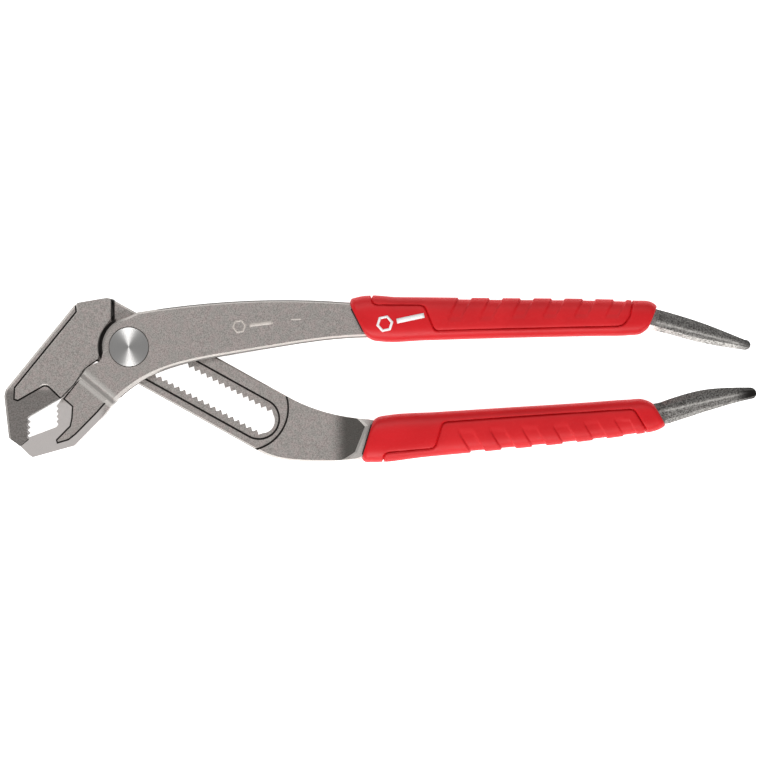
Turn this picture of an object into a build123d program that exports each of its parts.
from build123d import *
import math
import os

# Tongue and groove pliers lying flat. X runs along the handles, Y across them and Z up.
# The origin is on the pivot's axis, on the surface that the pliers rest on.
# Every part is drawn about the levers' mid-plane and raised to its height at the end.

# ---- driving dimensions, millimetres and degrees ----
MID_HEIGHT = 8.0
SLOT_ANGLE = -29.0
NOTCH_PITCH = 2.8
KEY_TURN = 14.0
LEVER_SWING = 24.0
FULL_SWING = KEY_TURN + LEVER_SWING

STRIP_HALF = 2.75
STRIP_UPPER = 13.5
STRIP_LOWER = 11.5
STRIP_START = -15.0
STRIP_END = 66.0
RECESS_HALF_WIDTH = 8.65
RECESS_DEPTH = 0.6
RECESS_FIRST = -2.0
RECESS_LAST = 60.2
WEB_HALF = STRIP_HALF - RECESS_DEPTH
RACK_TIP = 4.3
RACK_ROOT = 5.8
SLOT_FIRST = -10.6
SLOT_LAST = 66.8
RACK_TEETH = range(-3, 24)

HEAD_BAND_HALF = 4.7
HEAD_PANEL_HALF = 5.3
JAW_BAND_HALF = 4.5
JAW_PANEL_HALF = 5.0
CHEEK_HALF = 6.3
BOX_HALF = 2.87
BOX_RELIEF_HALF = 3.65
BOX_RELIEF_RADIUS = 18.2
LOWER_HANDLE_HALF = 3.45
UPPER_HANDLE_HALF = 4.2
TANG_HALF = 3.1
TIP_HALF = 2.4
PANEL_GROOVE_WIDTH = 0.7
PANEL_GROOVE_DEPTH = 0.6
EDGE_BEVEL = 0.9
PANEL_BEVEL = 0.45
STRIP_BEVEL = 0.6
BOSS_BEVEL = 1.3
TIP_BEVEL = 1.5
SEAM_WIDTH = 0.8
SEAM_DEPTH = 0.5
SHOULDER_RADIUS = 17.6
SHOULDER_CENTRE = (53.5, 1.2)
DIP_FLOOR = 2.4
JAW_GAP = 0.15

SHANK_RADIUS = 4.0
BORE_CLEARANCE = 0.05
KEY_FLATS = 5.2
KEY_HALF_LENGTH = 9.2
KEY_HALF_WIDTH = 4.15
KEY_TOOTH_HEIGHT = 0.95
KEY_CLEARANCE = 0.15
BOLT_HEAD_RADIUS = 7.9
BOLT_HEAD_TOP = 7.4
DOME_RADIUS = 40.0
HEAD_POCKET_RADIUS = 8.25
HEAD_POCKET_FLOOR = 4.9
LUG_RADIUS = 6.2
LUG_SIZE = 1.6
LUG_DEPTH = 0.8
NUT_POCKET_FLOOR = -4.3
NUT_RADIUS = 7.9
DISC_SPRING_HEIGHT = 0.9
DISC_SPRING_THICKNESS = 0.6

GRIP_HALF = 8.0
GRIP_ROUNDING = 2.4
PAD_THICKNESS = 1.3


def along_slot(u, v):
    """Point at a distance along the slot and across it, measured from the pivot."""
    turn = math.radians(SLOT_ANGLE)
    return (u * math.cos(turn) - v * math.sin(turn), u * math.sin(turn) + v * math.cos(turn))


def around_pivot(radius, angle):
    """Point at a radius and an angle round the pivot."""
    return (radius * math.cos(math.radians(angle)), radius * math.sin(math.radians(angle)))


def closed(*lines):
    """Face inside lines that meet end to end."""
    return make_face(Curve() + list(lines))


def polygon(*points):
    """Face inside straight lines from point to point."""
    return make_face(Polyline(*points, close=True))


def plate(face, half):
    """Plate of a half thickness each side of the mid-plane."""
    return extrude(face, amount=half, both=True)


def layer(face, low, high):
    """Plate from one height to another."""
    return extrude(Pos(0, 0, low) * face, amount=high - low)


def on_both_faces(shape):
    """The shape and its mirror image in the mid-plane."""
    return shape + mirror(shape, about=Plane.XY)


def bevel_rim(solid, half, depth, keep=lambda point: True, shortest=2.0):
    """Bevel along the edges of the two outer faces, where the edge's middle is kept."""
    rim = [
        edge
        for edge in solid.edges()
        if abs(abs(edge.center().Z) - half) < 0.01 and edge.length > shortest and keep(edge.center())
    ]
    return chamfer(rim, depth)


def raised_panel(solid, panel, groove_reach, band_half, panel_half):
    """Adds a panel to both faces of a solid, with a fine groove along its foot within a reach."""
    groove = offset(panel, amount=PANEL_GROOVE_WIDTH, kind=Kind.INTERSECTION) & groove_reach
    cut = on_both_faces(layer(groove, band_half - PANEL_GROOVE_DEPTH, band_half + 3))
    return solid - (cut & solid) + plate(panel, panel_half)


# ---- slotted lever: upper jaw, slot strip, lower handle and tip ----

HEAD_TOOTH_PITCH = 2.3
JAW_TOOTH_PITCH = 2.1


def head_outline():
    """Upper jaw seen from above, with the toothed face on the left of its opening."""
    teeth = [(-41.0, -28.2)]
    for tooth in range(4):
        base = -28.2 - tooth * HEAD_TOOTH_PITCH
        teeth += [(-42.2, base - HEAD_TOOTH_PITCH / 2), (-41.0, base - HEAD_TOOTH_PITCH)]
    return [
        (-44.3, -40.3),
        (-49.0, -36.9),
        (-50.9, -20.0),
        (-50.3, -17.3),
        (-22.6, 16.7),
        (-20.8, 18.0),
        (-9.0, 20.0),
        (-6.6, 19.4),
        (-7.2, 18.2),
        (-6.4, 13.3),
        (-7.6, 11.3),
        (-9.7, 8.5),
        (-11.4, 5.0),
        (-12.1, 1.5),
        (-12.1, -2.5),
        (-12.6, -4.7),
        (-15.7, -6.9),
        (-18.3, -8.9),
        (-19.7, -10.8),
        (-22.7, -15.2),
        (-28.2, -20.8),
    ] + teeth


def head_panel_face():
    """Raised panel of the upper jaw, run past the outline where the panel reaches it."""
    border = closed(
        Polyline((-22.0, 22.0), (-21.2, 14.2), (-46.2, -16.6), (-46.4, -21.0)),
        Polyline((-46.4, -21.0), (-45.3, -21.4), (-36.0, -16.1)),
        ThreePointArc((-36.0, -16.1), (-34.2, -15.4), (-32.3, -16.1)),
        Polyline((-32.3, -16.1), (-27.5, -20.7), (0.0, -20.7), (0.0, 22.0), (-22.0, 22.0)),
    )
    return border & polygon(*head_outline())


def head():
    """Upper jaw with bevelled outer edges and its raised panel."""
    body = plate(polygon(*head_outline()), HEAD_BAND_HALF)
    body = bevel_rim(body, HEAD_BAND_HALF, EDGE_BEVEL, lambda point: point.Y > point.X * 1.2 + 27)
    everywhere = Rectangle(200, 200)
    body = raised_panel(body, head_panel_face(), everywhere, HEAD_BAND_HALF, HEAD_PANEL_HALF)
    return bevel_rim(
        body,
        HEAD_PANEL_HALF,
        PANEL_BEVEL,
        lambda point: point.X < -21 and -17 < point.Y < 16,
        shortest=1.3,
    )


def lower_lever_face():
    """Strip, lower handle, the tang inside the grip and the tip, in one outline."""
    return closed(
        Polyline(along_slot(STRIP_START, -STRIP_LOWER), along_slot(STRIP_START, STRIP_UPPER)),
        Polyline(along_slot(STRIP_START, STRIP_UPPER), along_slot(STRIP_END, STRIP_UPPER)),
        Spline(along_slot(STRIP_END, STRIP_UPPER), (74.8, -25.0), (84.8, -27.8), (97.0, -29.4)),
        Polyline((97.0, -29.4), (104.0, -30.6), (205.0, -24.6), (216.0, -22.6)),
        Spline((216.0, -22.6), (225.0, -19.5), (234.4, -17.3), (244.0, -16.5), (252.5, -16.4)),
        ThreePointArc((252.5, -16.4), (255.1, -18.7), (254.1, -20.9)),
        Spline((254.1, -20.9), (245.3, -23.0), (232.8, -26.8), (219.5, -31.1)),
        Polyline((219.5, -31.1), (205.0, -33.2), (104.0, -41.8), (94.0, -45.6)),
        Spline((94.0, -45.6), (84.0, -46.3), (69.8, -46.4), (60.5, -45.4), (53.0, -42.6)),
        Polyline((53.0, -42.6), along_slot(60.0, -STRIP_LOWER), along_slot(STRIP_START, -STRIP_LOWER)),
    )


def tang_and_tip_thinning(first, thick_half):
    """Side profile of a handle that thins into its grip and again towards its tip."""
    upper = [
        (first, thick_half),
        (96.0, thick_half),
        (99.0, TANG_HALF),
        (214.0, TANG_HALF),
        (256.0, TIP_HALF),
    ]
    lower = [(x, -z) for x, z in reversed(upper)]
    return upper + lower


def side_profile(points, reach=80):
    """Prism whose outline is drawn from the side, along Y."""
    return extrude(Plane.XZ * polygon(*points), amount=reach, both=True)


def shoulder_circle(radius):
    """Circle that the thicker handle starts at, about the boss's place at the last notch."""
    return Pos(*along_slot(*SHOULDER_CENTRE)) * Circle(radius)


def strip_side_face():
    """Plan area on the jaw's side of the handle's thicker part."""
    return polygon(
        (-60.0, 60.0),
        (45.0, 60.0),
        along_slot(62.0, 40.0),
        along_slot(62.0, -40.0),
        (-60.0, -60.0),
    )


def handle_dip():
    """Hollow in both faces that slopes down towards the grip and ends in a bevelled edge."""
    region = polygon(
        (70.0, -15.0),
        (92.3, -29.5),
        (95.4, -32.4),
        (91.2, -42.3),
        (87.4, -44.4),
        (83.4, -45.7),
        (70.0, -55.0),
    )
    bowl = extrude(Pos(0, 0, DIP_FLOOR - 0.1) * region, amount=2.6, taper=-52)
    slope = side_profile([(80.0, LOWER_HANDLE_HALF), (98.0, DIP_FLOOR), (98.0, 9.0), (80.0, 9.0)])
    return on_both_faces(bowl & slope)


def lower_handle():
    """Lower handle beyond the shoulder that follows the boss at the last notch."""
    face = lower_lever_face() - shoulder_circle(SHOULDER_RADIUS) - strip_side_face()
    body = plate(face, LOWER_HANDLE_HALF + 2)
    body = body & side_profile(tang_and_tip_thinning(30, LOWER_HANDLE_HALF))
    body = bevel_rim(body, LOWER_HANDLE_HALF, EDGE_BEVEL, lambda point: point.Y < -40)
    return bevel_tip(
        body - handle_dip(),
        ((254.5, -16.4), (236.0, -17.3)),
        ((236.0, -17.3), (219.0, -21.6)),
        ((219.5, -31.1), (232.8, -26.8)),
        ((232.8, -26.8), (254.5, -20.9)),
    )


def rack_profile(tip, root, teeth, first, last):
    """Slot outline with a row of pointed teeth along each long side."""
    above = []
    for tooth in teeth:
        above += [(tooth * NOTCH_PITCH, tip), ((tooth + 0.5) * NOTCH_PITCH, root)]
    above = above[:-1]
    below = [(u, -v) for u, v in reversed(above)]
    return closed(
        Polyline(*above),
        ThreePointArc(above[-1], (last, 0), below[0]),
        Polyline(*below),
        ThreePointArc(below[-1], (first, 0), above[0]),
    )


def racetrack(first, last, radius):
    """Face with round ends about two centres on the slot's line."""
    return closed(
        Line((first, radius), (last, radius)),
        ThreePointArc((last, radius), (last + radius, 0), (last, -radius)),
        Line((last, -radius), (first, -radius)),
        ThreePointArc((first, -radius), (first - radius, 0), (first, radius)),
    )


def bevel_wedge(start, end, half):
    """Wedge that bevels a straight edge on the upper face; the waste lies right of start to end."""
    run = Vector(*end) - Vector(*start)
    drop = TIP_BEVEL * 0.8
    section = polygon(
        (-2 * TIP_BEVEL, half + drop),
        (2 * TIP_BEVEL, half - 3 * drop),
        (2 * TIP_BEVEL, half + drop),
    )
    direction = math.degrees(math.atan2(run.Y, run.X))
    prism = extrude(Plane.XZ * section, amount=run.length / 2 + 3, both=True)
    middle = (Vector(*start) + Vector(*end)) * 0.5
    return Pos(middle.X, middle.Y, 0) * Rot(0, 0, direction - 90) * prism


def bevel_tip(lever, *edges):
    """Bevels the long edges of a handle's reaming tip on both faces."""
    for start, end in edges:
        lever -= on_both_faces(bevel_wedge(start, end, TANG_HALF - 0.3))
    return lever


def make_slotted_lever():
    """Whole slotted lever with its recess, slot and racks."""
    strip_end = polygon((-60.0, 60.0), (72.0, 60.0), (72.0, -60.0), (-60.0, -60.0))
    strip = plate(lower_lever_face() & strip_end, STRIP_HALF)
    strip = bevel_rim(strip, STRIP_HALF, STRIP_BEVEL, shortest=60)
    lever = strip + head() + lower_handle()
    recess = racetrack(RECESS_FIRST, RECESS_LAST, RECESS_HALF_WIDTH)
    seam = recess - racetrack(RECESS_FIRST, RECESS_LAST, RECESS_HALF_WIDTH - SEAM_WIDTH)
    recess_cut = layer(recess, WEB_HALF, WEB_HALF + 4)
    seam_cut = layer(seam, WEB_HALF - SEAM_DEPTH, WEB_HALF + 1)
    shoulder_ring = shoulder_circle(SHOULDER_RADIUS) - shoulder_circle(SHOULDER_RADIUS - SEAM_WIDTH)
    shoulder_seam = layer(shoulder_ring - strip_side_face(), STRIP_HALF - SEAM_DEPTH, STRIP_HALF + 0.1)
    rack = rack_profile(RACK_TIP, RACK_ROOT, RACK_TEETH, SLOT_FIRST, SLOT_LAST)
    lever -= on_both_faces(shoulder_seam)
    lever -= Rot(0, 0, SLOT_ANGLE) * on_both_faces(recess_cut)
    lever -= Rot(0, 0, SLOT_ANGLE) * on_both_faces(seam_cut)
    lever -= Rot(0, 0, SLOT_ANGLE) * plate(rack, HEAD_PANEL_HALF + 1)
    return lever


# ---- curved lever: lower jaw, box joint boss, upper handle and tip ----

JAW_CREASE_DIRECTION = -129.8
JAW_CREASE_START = 19.5
JAW_CREASE_END = 23.8


def curved_lever_face():
    """Curved lever seen from above, from the jaw to the tip."""
    teeth = [(-29.6, -24.0)]
    for tooth in range(4):
        base = -24.0 - tooth * JAW_TOOTH_PITCH
        teeth += [(-28.8, base - JAW_TOOTH_PITCH / 2), (-29.6, base - JAW_TOOTH_PITCH)]
    teeth.reverse()
    return closed(
        Spline((3.5, 14.1), (28.5, 17.4), (58.5, 19.1), (88.0, 18.2)),
        Polyline((88.0, 18.2), (97.0, 17.8), (104.0, 16.8), (205.0, 16.8), (214.0, 15.6)),
        Spline((214.0, 15.6), (224.1, 12.8), (234.2, 9.5), (242.7, 6.2), (250.5, 3.0)),
        ThreePointArc((250.5, 3.0), (252.7, 0.6), (250.5, -1.1)),
        Spline((250.5, -1.1), (241.0, 0.3), (230.9, 2.3), (220.7, 5.1), (212.5, 7.0)),
        Polyline((212.5, 7.0), (205.0, 8.0), (104.0, 6.8), (97.0, 3.9)),
        Spline(
            (97.0, 3.9),
            (79.8, 2.8),
            (58.5, -0.3),
            (38.5, -3.6),
            (18.5, -7.9),
            (8.5, -11.8),
            (2.5, -15.4),
        ),
        Spline((2.5, -15.4), (-6.5, -23.0), (-10.6, -28.2)),
        Polyline(
            (-10.6, -28.2),
            (-22.3, -40.1),
            (-39.2, -44.8),
            (-40.6, -43.9),
            (-44.3 + JAW_GAP, -40.3 - JAW_GAP),
            (-41.0 + JAW_GAP, -37.6 - JAW_GAP),
            (-40.6, -36.6),
            (-31.0, -33.0),
            *teeth,
            (-28.5, -22.5),
            (-27.5, -21.0),
            (-24.0, -17.5),
            (-21.0, -14.0),
            (-18.5, -10.5),
            (-17.0, -8.5),
            (-15.0, -7.2),
            (-12.0, -6.0),
            (-11.0, -4.5),
            (-10.6, -2.5),
        ),
        ThreePointArc((-10.6, -2.5), (-9.0, 6.6), (-2.5, 11.5)),
        Spline((-2.5, 11.5), (0.3, 12.5), (3.5, 14.1)),
    )


def jaw_panel_face():
    """Raised panel of the lower jaw."""
    return polygon(
        (-26.0, -21.0),
        (-22.6, -24.0),
        (-22.9, -28.9),
        (-23.6, -32.3),
        (-29.1, -37.9),
        (-28.9, -38.5),
        (-24.9, -37.3),
        (-21.9, -34.9),
        (-13.4, -26.2),
        (-9.2, -21.4),
        (-19.0, -12.2),
    )


def box_cavity_face():
    """Space for the slotted lever between the cheeks, through its whole swing."""
    wedge = math.cos(math.radians(FULL_SWING / 2))
    below = STRIP_LOWER + 0.2
    above = STRIP_UPPER + 0.25
    jaw_corner_angle = SLOT_ANGLE - 90 - FULL_SWING / 2
    handle_corner_angle = SLOT_ANGLE + 90 - FULL_SWING / 2
    jaw_corner = Vector(*around_pivot(below / wedge, jaw_corner_angle))
    handle_corner = Vector(*around_pivot(above / wedge, handle_corner_angle))
    jaw_side = jaw_corner + Vector(*around_pivot(22, SLOT_ANGLE - FULL_SWING - 0.5))
    jaw_front = jaw_corner + Vector(*around_pivot(22, SLOT_ANGLE + 180))
    handle_side = handle_corner + Vector(*around_pivot(9, SLOT_ANGLE + 180 - FULL_SWING - 0.5))
    return polygon(
        (jaw_corner.X, jaw_corner.Y),
        (jaw_side.X, jaw_side.Y),
        (30.0, -32.0),
        (60.0, -20.0),
        along_slot(40.0, 18.4),
        along_slot(29.6, 15.6),
        along_slot(21.6, 14.5),
        along_slot(17.0, above),
        (handle_corner.X, handle_corner.Y),
        (handle_side.X, handle_side.Y),
        (-10.0, 26.0),
        (-34.0, 20.0),
        (jaw_front.X, jaw_front.Y),
    )


def jaw_thinning():
    """Prism that lets the jaw drop from the cheeks' height to its own at the crease."""
    upper = [
        (-260, CHEEK_HALF),
        (JAW_CREASE_START, CHEEK_HALF),
        (JAW_CREASE_START + 1.2, CHEEK_HALF - 0.35),
        (JAW_CREASE_END - 1.0, JAW_BAND_HALF + 0.25),
        (JAW_CREASE_END, JAW_BAND_HALF),
        (60, JAW_BAND_HALF),
    ]
    lower = [(x, -z) for x, z in reversed(upper)]
    return Rot(0, 0, JAW_CREASE_DIRECTION) * side_profile(upper + lower, reach=260)


def handle_thinning():
    """Side profile of the curved lever along its handle."""
    upper = [
        (-60, CHEEK_HALF),
        (24, CHEEK_HALF),
        (88, UPPER_HANDLE_HALF),
        (96, UPPER_HANDLE_HALF),
        (99, TANG_HALF),
        (212, TANG_HALF),
        (254, TIP_HALF),
    ]
    lower = [(x, -z) for x, z in reversed(upper)]
    return side_profile(upper + lower)


def pivot_pockets():
    """Bore, bolt head pocket with its lug groove, and nut pocket."""
    bore = Cylinder(SHANK_RADIUS + BORE_CLEARANCE, 20)
    head_pocket = layer(Circle(HEAD_POCKET_RADIUS), HEAD_POCKET_FLOOR, 9)
    nut_pocket = layer(Circle(HEAD_POCKET_RADIUS), -9, NUT_POCKET_FLOOR)
    inner = LUG_RADIUS - LUG_SIZE / 2 - 0.15
    outer = LUG_RADIUS + LUG_SIZE / 2 + 0.15
    margin = math.degrees(LUG_SIZE / 2 / LUG_RADIUS) + 3
    wedge = polygon((0, 0), around_pivot(30, -LEVER_SWING - margin), around_pivot(30, margin))
    groove_face = (Circle(outer) - Circle(inner)) & wedge
    lug_groove = layer(groove_face, HEAD_POCKET_FLOOR - LUG_DEPTH - 0.1, HEAD_POCKET_FLOOR + 1)
    return bore + head_pocket + nut_pocket + lug_groove


def bevel_long_edges(lever, depth, keep):
    """Bevel along the long edges of the boss and handle, where the edge's middle is kept."""
    rim = [
        edge
        for edge in lever.edges()
        if abs(edge.center().Z) > UPPER_HANDLE_HALF - 0.1 and edge.length > 3 and keep(edge.center())
    ]
    return chamfer(rim, depth)


def make_curved_lever():
    """Whole curved lever with its box joint and pivot pockets."""
    lever = plate(curved_lever_face(), CHEEK_HALF + 1)
    lever = lever & handle_thinning() & jaw_thinning()
    lever = bevel_long_edges(lever, BOSS_BEVEL, lambda point: point.Y < 5 and -8 < point.X < 95)
    lever = bevel_long_edges(
        lever,
        EDGE_BEVEL,
        lambda point: point.Y > 12 or (point.X < -8 and point.Y > 5),
    )
    lever = bevel_tip(
        lever,
        ((252.5, 2.2), (234.2, 9.5)),
        ((234.2, 9.5), (214.0, 15.6)),
        ((212.5, 7.0), (230.9, 2.3)),
        ((230.9, 2.3), (252.5, -1.2)),
    )
    panel = jaw_panel_face() & curved_lever_face()
    beyond_crease = Rot(0, 0, JAW_CREASE_DIRECTION) * Pos(JAW_CREASE_END + 30, 0) * Rectangle(60, 80)
    lever = raised_panel(lever, panel, beyond_crease, JAW_BAND_HALF, JAW_PANEL_HALF)
    cavity = box_cavity_face()
    relief = cavity - Circle(BOX_RELIEF_RADIUS) - (Pos(-42, 0) * Rectangle(100, 200))
    lever -= plate(cavity, BOX_HALF)
    lever -= plate(relief, BOX_RELIEF_HALF)
    lever -= pivot_pockets()
    return lever


# ---- pivot ----


def make_pivot_bolt():
    """Bolt with a low domed disc head, a lug under it and a double-D shank in the slot."""
    dome = Pos(0, 0, BOLT_HEAD_TOP - DOME_RADIUS) * Sphere(DOME_RADIUS)
    bolt_head = layer(Circle(BOLT_HEAD_RADIUS), HEAD_POCKET_FLOOR, BOLT_HEAD_TOP + 1) & dome
    lug_face = Pos(LUG_RADIUS, 0) * Rectangle(LUG_SIZE, LUG_SIZE)
    lug = layer(lug_face, HEAD_POCKET_FLOOR - LUG_DEPTH, HEAD_POCKET_FLOOR + 0.5)
    shank = layer(Circle(SHANK_RADIUS), NUT_POCKET_FLOOR - 2.9, HEAD_POCKET_FLOOR + 0.5)
    flats = layer(Rectangle(40, 40) - Rectangle(40, KEY_FLATS), -WEB_HALF, WEB_HALF)
    flats = Rot(0, 0, SLOT_ANGLE - KEY_TURN) * flats
    return bolt_head + lug + shank - flats


def make_toothed_key():
    """Key with teeth on two opposite corners, which leave the racks when it turns."""
    narrow = RACK_TIP - KEY_CLEARANCE
    wide = narrow + KEY_TOOTH_HEIGHT
    profile = rack_profile(narrow, wide, range(-3, 4), -KEY_HALF_LENGTH, KEY_HALF_LENGTH)
    band = Rot(0, 0, -KEY_TURN) * Rectangle(60, 2 * KEY_HALF_WIDTH)
    shank_hole = Rot(0, 0, -KEY_TURN) * (
        Circle(SHANK_RADIUS + BORE_CLEARANCE) & Rectangle(40, KEY_FLATS + 2 * BORE_CLEARANCE)
    )
    face = (profile & band) - shank_hole
    return Rot(0, 0, SLOT_ANGLE) * plate(face, WEB_HALF - 0.05)


def make_guide_washer(side):
    """Thrust washer that runs in the recess, between the strip and a cheek."""
    face = Circle(RECESS_HALF_WIDTH - 0.1) - Circle(SHANK_RADIUS + BORE_CLEARANCE)
    washer = layer(face, WEB_HALF + 0.02, BOX_HALF - 0.02)
    return washer if side > 0 else mirror(washer, about=Plane.XY)


def make_disc_spring():
    """Slightly coned washer behind the rear cheek."""
    inner = SHANK_RADIUS + BORE_CLEARANCE
    outer = NUT_RADIUS - 0.6
    top = NUT_POCKET_FLOOR
    low = top - DISC_SPRING_HEIGHT
    section = polygon(
        (inner, low),
        (inner, low + DISC_SPRING_THICKNESS),
        (outer, top),
        (outer, top - DISC_SPRING_THICKNESS),
    )
    return revolve(Plane.XZ * section, axis=Axis.Z)


def make_pivot_nut():
    """Round nut with two wrench slots; its flat outer face is what the pivot rests on."""
    top = NUT_POCKET_FLOOR - DISC_SPRING_HEIGHT
    nut = layer(Circle(NUT_RADIUS), -MID_HEIGHT, top)
    nut = chamfer(nut.faces().sort_by(Axis.Z)[0].edges(), 0.5)
    bore = layer(Circle(SHANK_RADIUS), NUT_POCKET_FLOOR - 2.9, 0)
    slot = layer(Rectangle(3.0, 2.4), -MID_HEIGHT, -MID_HEIGHT + 1.2)
    for side in (-1, 1):
        nut -= Pos(side * NUT_RADIUS, 0, 0) * slot
    return nut - bore


# ---- grips ----


def upper_grip_face():
    """Upper grip seen from above."""
    return polygon(
        (96.3, 4.1),
        (89.3, 17.9),
        (90.0, 19.3),
        (92.5, 20.4),
        (134.0, 20.1),
        (200.0, 19.4),
        (212.8, 18.4),
        (215.1, 16.4),
        (214.3, 13.0),
        (212.3, 9.0),
        (209.8, 6.2),
        (206.0, 4.9),
        (175.0, 4.1),
        (140.0, 3.3),
        (103.0, 2.1),
        (99.5, 2.6),
    )


def lower_grip_face():
    """Lower grip seen from above."""
    return polygon(
        (99.3, -29.3),
        (98.3, -32.5),
        (94.3, -46.0),
        (98.8, -46.9),
        (120.0, -44.7),
        (150.0, -41.9),
        (200.0, -36.6),
        (210.6, -34.6),
        (216.5, -33.8),
        (218.9, -32.2),
        (218.6, -30.4),
        (216.8, -27.4),
        (214.9, -24.2),
        (211.8, -22.0),
        (207.0, -21.3),
        (203.5, -21.4),
        (175.0, -23.3),
        (150.0, -24.8),
        (125.0, -26.4),
        (105.0, -27.8),
    )


def upper_pad_face():
    """Reach of the upper grip's pad, run past the grip's outline."""
    return polygon(
        (98.2, 24.0),
        (98.7, 18.6),
        (100.6, 17.2),
        (118.3, 17.0),
        (120.0, 16.2),
        (123.9, 7.3),
        (125.4, 6.4),
        (159.0, 7.3),
        (198.0, 8.2),
        (200.8, 8.9),
        (203.3, 12.6),
        (206.8, 24.0),
    )


def lower_pad_face():
    """Reach of the lower grip's pad, run past the grip's outline."""
    return polygon(
        (102.6, -50.0),
        (103.6, -44.2),
        (105.2, -43.0),
        (123.2, -41.3),
        (124.3, -40.5),
        (127.2, -31.2),
        (128.7, -30.4),
        (159.0, -28.1),
        (203.8, -25.2),
        (205.2, -25.9),
        (209.9, -33.4),
        (213.0, -50.0),
    )


def make_grip(grip_face, pad_face, lever):
    """Sleeve and pad of one grip, hollowed for the lever inside it."""
    outer = plate(grip_face, GRIP_HALF - GRIP_ROUNDING)
    for angle in (35, 62, 90):
        inset = GRIP_ROUNDING * (math.cos(math.radians(angle)) - 1)
        rise = GRIP_ROUNDING * (math.sin(math.radians(angle)) - 1)
        outer += plate(offset(grip_face, amount=inset, kind=Kind.INTERSECTION), GRIP_HALF + rise)
    inner = offset(grip_face, amount=-PAD_THICKNESS, kind=Kind.INTERSECTION)
    core = plate(inner, GRIP_HALF - PAD_THICKNESS)
    pad = (outer & plate(pad_face, GRIP_HALF + 1)) - core
    sleeve = outer - pad - lever
    return sleeve, pad


def write_parts(parts):
    """Raises each part from the mid-plane to its height and writes it."""
    os.makedirs("parts", exist_ok=True)
    for name, shape in parts.items():
        export_step(Pos(0, 0, MID_HEIGHT) * shape, f"parts/{name}.step")


slotted_lever = make_slotted_lever()
curved_lever = make_curved_lever()
upper_sleeve, upper_pad = make_grip(upper_grip_face(), upper_pad_face(), curved_lever)
lower_sleeve, lower_pad = make_grip(lower_grip_face(), lower_pad_face(), slotted_lever)

write_parts(
    {
        "slotted_lever": slotted_lever,
        "curved_lever": curved_lever,
        "pivot_bolt": make_pivot_bolt(),
        "toothed_key": make_toothed_key(),
        "front_guide_washer": make_guide_washer(1),
        "rear_guide_washer": make_guide_washer(-1),
        "disc_spring": make_disc_spring(),
        "pivot_nut": make_pivot_nut(),
        "upper_grip_sleeve": upper_sleeve,
        "upper_grip_pad": upper_pad,
        "lower_grip_sleeve": lower_sleeve,
        "lower_grip_pad": lower_pad,
    }
)
